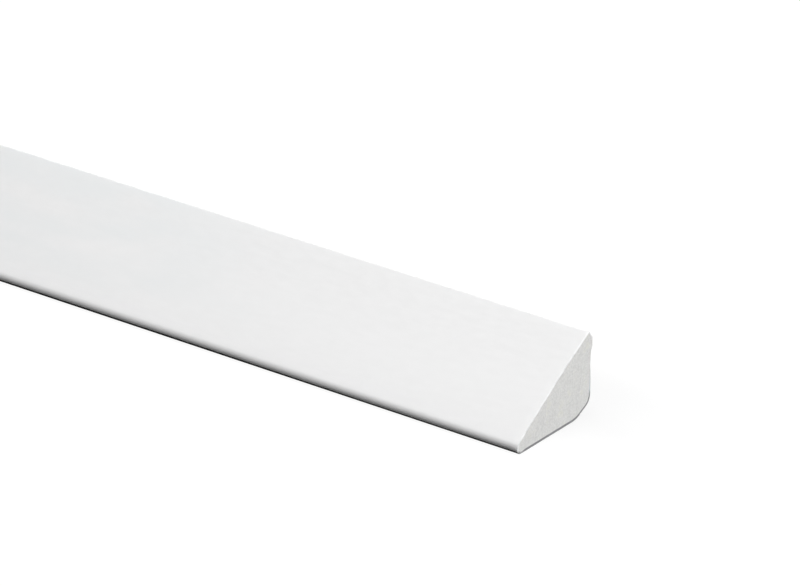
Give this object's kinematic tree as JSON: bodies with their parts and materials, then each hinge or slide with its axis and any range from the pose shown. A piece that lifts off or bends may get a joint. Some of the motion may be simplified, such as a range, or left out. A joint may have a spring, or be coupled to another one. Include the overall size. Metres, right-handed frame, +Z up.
{
  "type": "triangular moulding",
  "caption": "Triangular moulding in foamed plastic, a straight stock length with a rounded toe, blunt ridge, relieved back and bevelled heel, fixed as trim along an inside corner or edge",
  "frame": {"origin": "the middle of the bar's length and width, level with its flat underside", "axes": "+X along the bar to the sawn end that the picture shows, +Y from the thin toe to the tall back, +Z up from the underside to the ridge"},
  "size_m": [2.4384, 0.027, 0.019],
  "materials": {
    "foamed_plastic": "smooth extruded skin, matt sawn ends"
  },
  "bodies": {
    "root": {"triangular_moulding": "foamed_plastic"}
  },
  "joints": []
}
